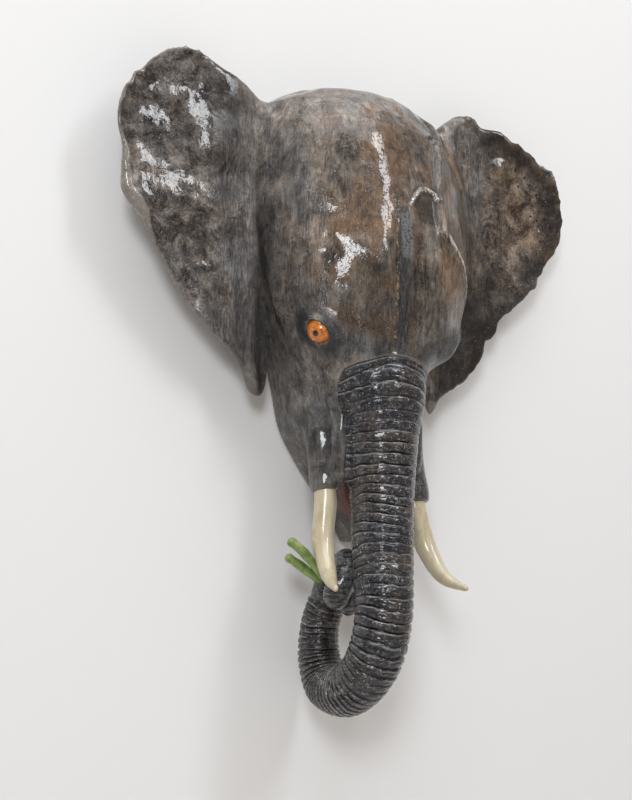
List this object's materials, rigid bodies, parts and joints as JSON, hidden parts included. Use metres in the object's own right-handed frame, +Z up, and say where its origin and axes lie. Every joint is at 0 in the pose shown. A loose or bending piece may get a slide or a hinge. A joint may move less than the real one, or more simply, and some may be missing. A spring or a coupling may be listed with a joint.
{
  "type": "wall-hung ceramic elephant head",
  "caption": "Glazed ceramic elephant head with spread ears, tusks and a curled trunk holding green stems; hangs flat on a wall.",
  "frame": {"origin": "on the flat back, level with the lower forehead, on the middle line of the head", "axes": "+Y out of the back into the wall, +Z up, -Y the way the face looks, +X the elephant's left side"},
  "size_m": [0.491, 0.1484, 0.6064],
  "materials": {
    "grey_brown_glaze": "glossy, streaked",
    "ivory_glaze": "satin gloss",
    "orange_glaze": "glossy",
    "green_glaze": "satin"
  },
  "bodies": {
    "root": {"elephant_head": "grey_brown_glaze", "tusk_right": "ivory_glaze", "tusk_left": "ivory_glaze", "eye_right": "orange_glaze", "eye_left": "orange_glaze", "stem_upper": "green_glaze", "stem_lower": "green_glaze"}
  },
  "joints": []
}
